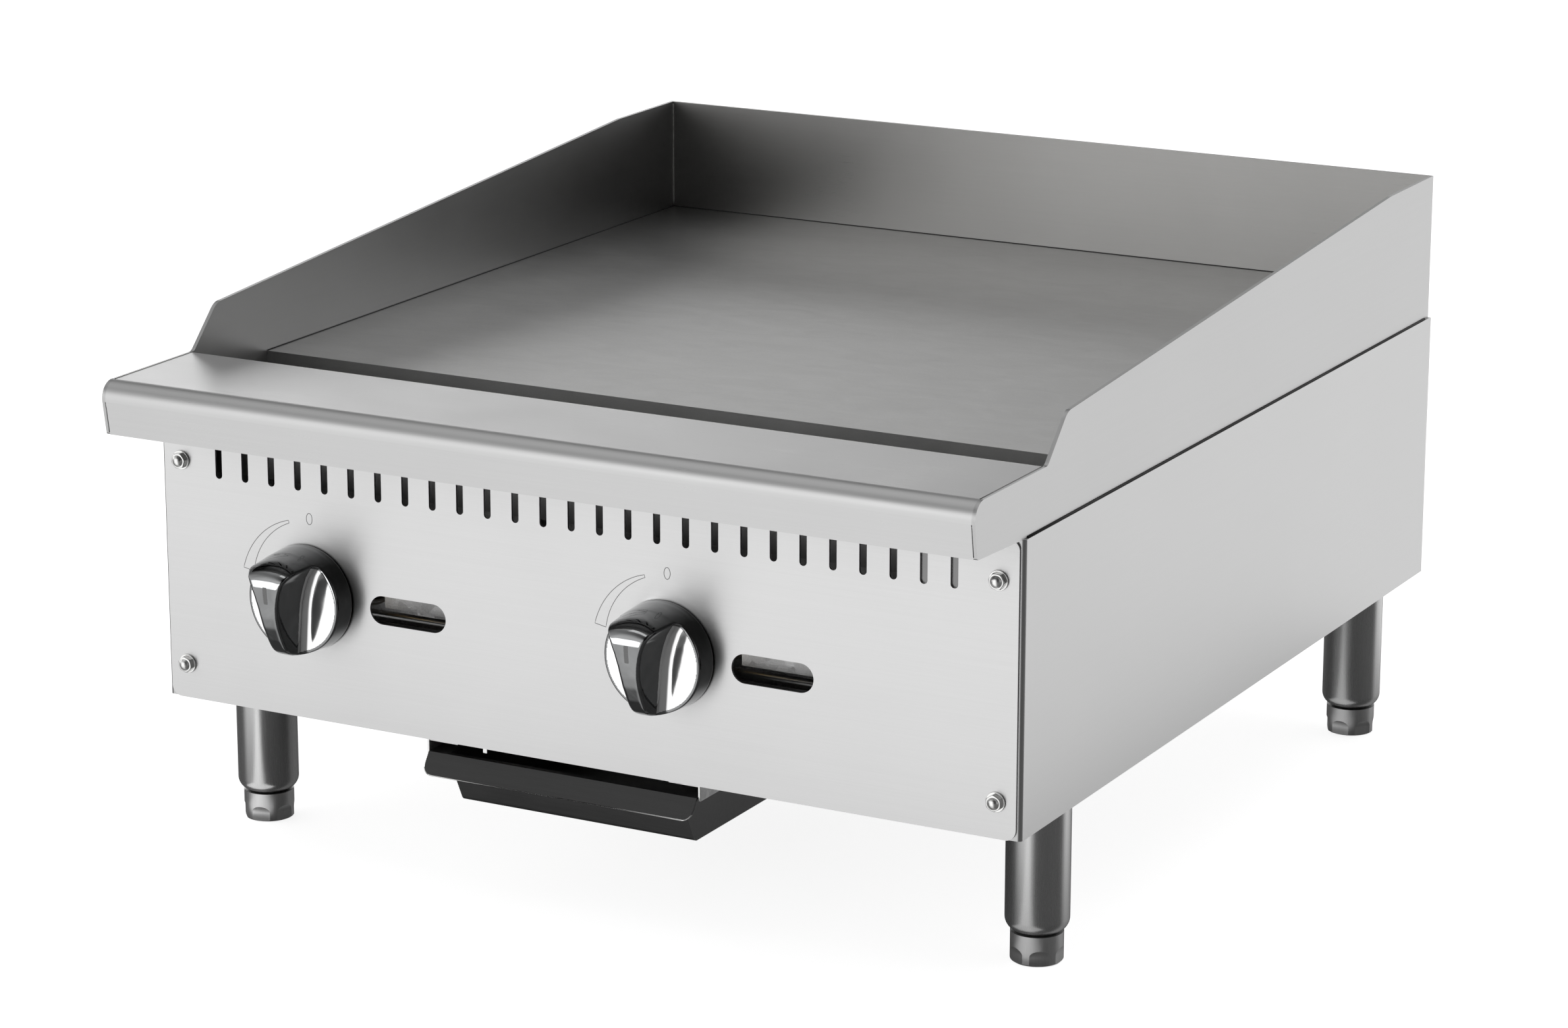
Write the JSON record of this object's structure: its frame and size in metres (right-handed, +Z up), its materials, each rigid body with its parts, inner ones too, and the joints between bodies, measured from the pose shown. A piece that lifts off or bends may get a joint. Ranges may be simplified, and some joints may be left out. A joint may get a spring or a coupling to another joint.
{
  "type": "countertop gas griddle",
  "caption": "Countertop gas griddle: flat steel plate, splash guards, front ledge and grease trough, slotted control panel with knobs, pull-out tray, adjustable legs.",
  "frame": {"origin": "centre of the bounding box on the floor plane under the feet", "axes": "+Z up, -Y towards the cook (front panel), +X to the right end seen from the front"},
  "size_m": [0.6096, 0.7486, 0.386],
  "materials": {
    "griddle_plate_steel": "ground and polished carbon steel, lightly seasoned",
    "stainless_brushed": "fine horizontal brushing",
    "stainless_satin": "smooth satin",
    "stainless_inner": "mill finish",
    "galvanised_sheet": "galvanised spangle",
    "bright_hardware": "polished",
    "zinc_hardware": "zinc plated",
    "black_pipe": "black oxide pipe",
    "brass": "machined",
    "stem_steel": "turned",
    "knob_black": "glossy moulding",
    "knob_chrome": "bright face trim",
    "burner_steel": "aluminised, heat tinted",
    "aluminium_tube": "drawn tube",
    "pilot_steel": "turned",
    "leg_stainless": "brushed lengthwise",
    "foot_steel": "plated, hexagonal",
    "tray_steel": "satin"
  },
  "bodies": {
    "frame": {"griddle_plate": "griddle_plate_steel", "front_ledge": "stainless_brushed", "side_splash_left": "stainless_brushed", "side_splash_right": "stainless_brushed", "back_splash": "stainless_brushed", "front_panel": "stainless_brushed", "side_panel_left": "stainless_satin", "side_panel_right": "stainless_satin", "rear_panel": "stainless_satin", "grease_trough": "stainless_inner", "drain_chute": "stainless_inner", "tray_cross_member": "galvanised_sheet", "bottom_heat_shield": "galvanised_sheet", "front_baffle": "galvanised_sheet", "manifold_brackets": "galvanised_sheet", "burner_rest_front": "galvanised_sheet", "burner_rest_rear": "galvanised_sheet", "tray_rail_left": "galvanised_sheet", "tray_rail_right": "galvanised_sheet", "panel_studs": "bright_hardware", "panel_washers": "bright_hardware", "panel_cap_nuts": "bright_hardware", "body_screws": "bright_hardware", "top_hold_down_studs": "zinc_hardware", "top_hold_down_nuts": "zinc_hardware", "leg_studs": "zinc_hardware", "leg_nuts": "zinc_hardware", "gas_manifold": "black_pipe", "inlet_elbow": "black_pipe", "inlet_pipe": "black_pipe", "gas_valve_left": "brass", "gas_valve_right": "brass", "orifice_hood_left": "brass", "orifice_hood_right": "brass", "pilot_valve_left": "brass", "pilot_valve_right": "brass", "burner_left": "burner_steel", "burner_right": "burner_steel", "pilot_tube_left": "aluminium_tube", "pilot_tube_right": "aluminium_tube", "pilot_burner_left": "pilot_steel", "pilot_burner_right": "pilot_steel", "leg_front_left": "leg_stainless", "leg_front_right": "leg_stainless", "leg_rear_left": "leg_stainless", "leg_rear_right": "leg_stainless"},
    "knob_left": {"knob_body_left": "knob_black", "knob_face_left": "knob_chrome", "valve_stem_left": "stem_steel"},
    "knob_right": {"knob_body_right": "knob_black", "knob_face_right": "knob_chrome", "valve_stem_right": "stem_steel"},
    "tray": {"grease_tray": "tray_steel"},
    "foot_fl": {"foot_front_left": "foot_steel"},
    "foot_fr": {"foot_front_right": "foot_steel"},
    "foot_rl": {"foot_rear_left": "foot_steel"},
    "foot_rr": {"foot_rear_right": "foot_steel"},
    "shutter_left": {"air_shutter_left": "burner_steel"},
    "shutter_right": {"air_shutter_right": "burner_steel"}
  },
  "joints": [
    {"name": "knob_left_turn", "type": "hinge", "parent": "frame", "child": "knob_left", "pos_m": [-0.1946, -0.31244, 0.1825], "axis": [0, -1, 0], "range_deg": [0, 90]},
    {"name": "knob_right_turn", "type": "hinge", "parent": "frame", "child": "knob_right", "pos_m": [0.0654, -0.31244, 0.1825], "axis": [0, -1, 0], "range_deg": [0, 90]},
    {"name": "tray_pull", "type": "slide", "parent": "frame", "child": "tray", "axis": [0, -1, 0], "range_m": [0, 0.26]},
    {"name": "foot_front_left_height", "type": "slide", "parent": "frame", "child": "foot_fl", "axis": [0, 0, -1], "range_m": [0, 0.025]},
    {"name": "foot_front_right_height", "type": "slide", "parent": "frame", "child": "foot_fr", "axis": [0, 0, -1], "range_m": [0, 0.025]},
    {"name": "foot_rear_left_height", "type": "slide", "parent": "frame", "child": "foot_rl", "axis": [0, 0, -1], "range_m": [0, 0.025]},
    {"name": "foot_rear_right_height", "type": "slide", "parent": "frame", "child": "foot_rr", "axis": [0, 0, -1], "range_m": [0, 0.025]},
    {"name": "air_shutter_left_turn", "type": "hinge", "parent": "frame", "child": "shutter_left", "pos_m": [-0.1946, -0.23274, 0.1825], "axis": [0, 1, 0], "range_deg": [0, 60]},
    {"name": "air_shutter_right_turn", "type": "hinge", "parent": "frame", "child": "shutter_right", "pos_m": [0.0654, -0.23274, 0.1825], "axis": [0, 1, 0], "range_deg": [0, 60]}
  ]
}
